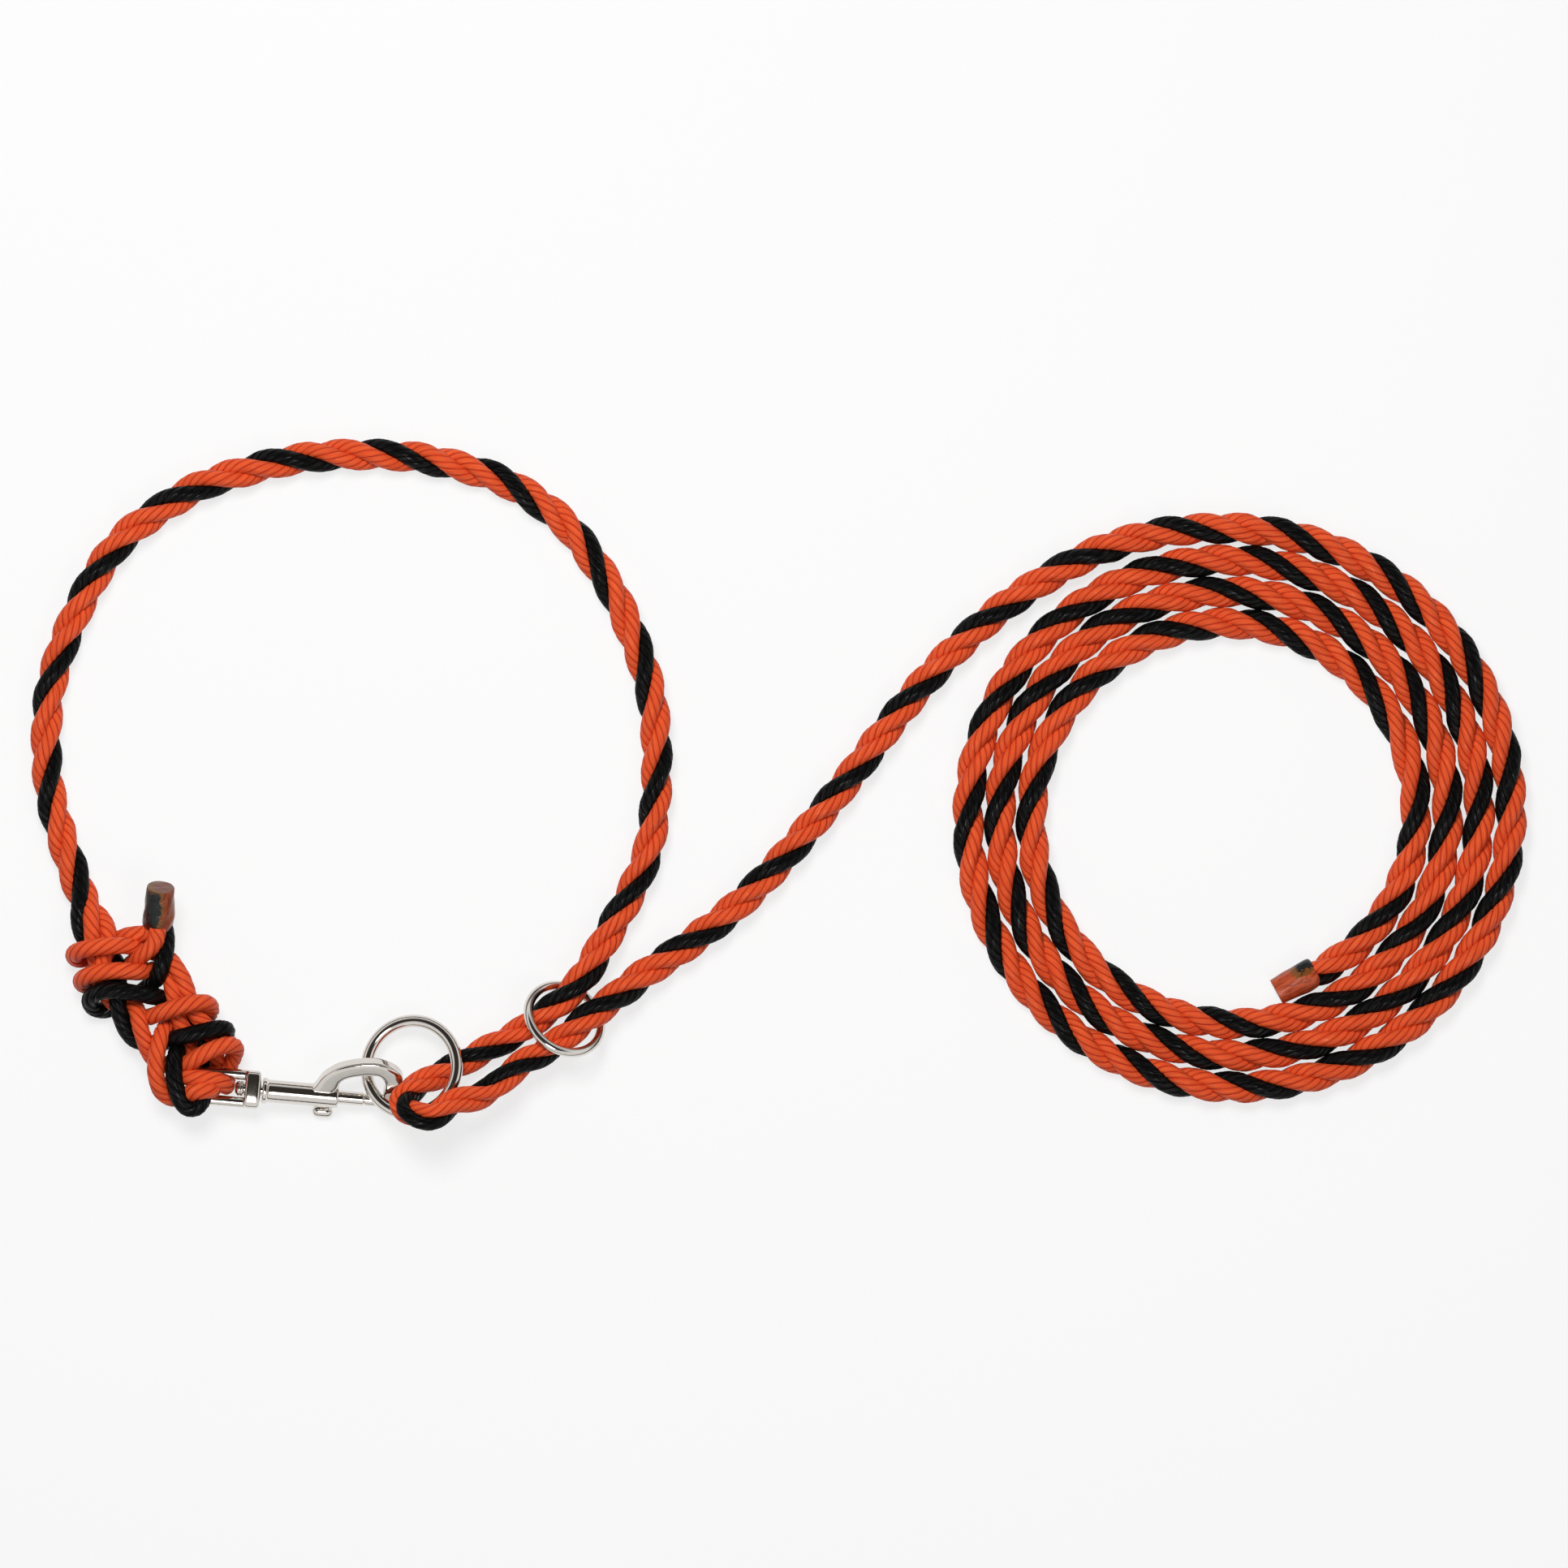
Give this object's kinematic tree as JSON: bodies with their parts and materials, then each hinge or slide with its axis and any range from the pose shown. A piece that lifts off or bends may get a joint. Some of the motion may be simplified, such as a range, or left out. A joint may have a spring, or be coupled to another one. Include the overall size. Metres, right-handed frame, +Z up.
{
  "type": "livestock neck rope",
  "caption": "Three-strand laid neck rope and lead with a swivel bolt snap spliced to one end, a ring held in a fold, a sliding ring and a coiled lead with a fused end.",
  "frame": {"origin": "floor level under the middle of the object's box", "axes": "+X from the neck loop to the coil, +Y towards the top of the picture, +Z up from the floor it lies on"},
  "size_m": [0.585, 0.2698, 0.0345],
  "materials": {
    "neck_loop_rope": "orange poly yarn with one black strand in three",
    "bight_rope": "orange poly yarn with one black strand in three",
    "lead_rope": "orange poly yarn with one black strand in three",
    "rope_coil": "orange poly yarn with one black strand in three",
    "splice_strand_black": "black poly yarn",
    "splice_strand_orange_1": "orange poly yarn with one black strand in three",
    "splice_strand_orange_2": "orange poly yarn with one black strand in three",
    "tail_end_seal": "melted yarn, black and rust",
    "lead_end_seal": "melted yarn, brown and charred",
    "swivel_eye": "bright nickel plate",
    "swivel_pin": "bright nickel plate",
    "snap_body": "bright nickel plate",
    "snap_bolt": "bright nickel plate",
    "thumb_knob": "bright nickel plate",
    "bolt_spring": "drawn spring wire",
    "snap_ring": "bright nickel plate",
    "slide_ring": "bright nickel plate"
  },
  "bodies": {
    "rope": {"neck_loop_rope": "neck_loop_rope", "bight_rope": "bight_rope", "lead_rope": "lead_rope", "rope_coil": "rope_coil", "splice_strand_black": "splice_strand_black", "splice_strand_orange_1": "splice_strand_orange_1", "splice_strand_orange_2": "splice_strand_orange_2", "tail_end_seal": "tail_end_seal", "lead_end_seal": "lead_end_seal", "swivel_eye": "swivel_eye"},
    "snap": {"snap_body": "snap_body", "swivel_pin": "swivel_pin", "bolt_spring": "bolt_spring"},
    "bolt": {"snap_bolt": "snap_bolt", "thumb_knob": "thumb_knob"},
    "snap_ring": {"snap_ring": "snap_ring"},
    "slide_ring": {"slide_ring": "slide_ring"}
  },
  "joints": [
    {"name": "snap_swivel", "type": "hinge", "parent": "rope", "child": "snap", "pos_m": [-0.20208, -0.12004, 0.0091], "axis": [0.9927, -0.0898, -0.0802], "range_deg": [-6, 5]},
    {"name": "bolt_slide", "type": "slide", "parent": "snap", "child": "bolt", "axis": [-0.9927, 0.0898, 0.0802], "range_m": [0, 0.009], "stiffness_N_per_m": 300, "springref_m": -0.006, "deforming": ["bolt_spring"]},
    {"name": "snap_ring_spin", "type": "hinge", "parent": "rope", "child": "snap_ring", "pos_m": [-0.14303, -0.11099, 0.0123], "axis": [-0.2439, 0.1597, 0.9565], "continuous": true},
    {"name": "slide_ring_slide", "type": "slide", "parent": "rope", "child": "slide_ring", "axis": [-0.769, -0.6392, 0], "range_m": [0, 0.006]}
  ]
}
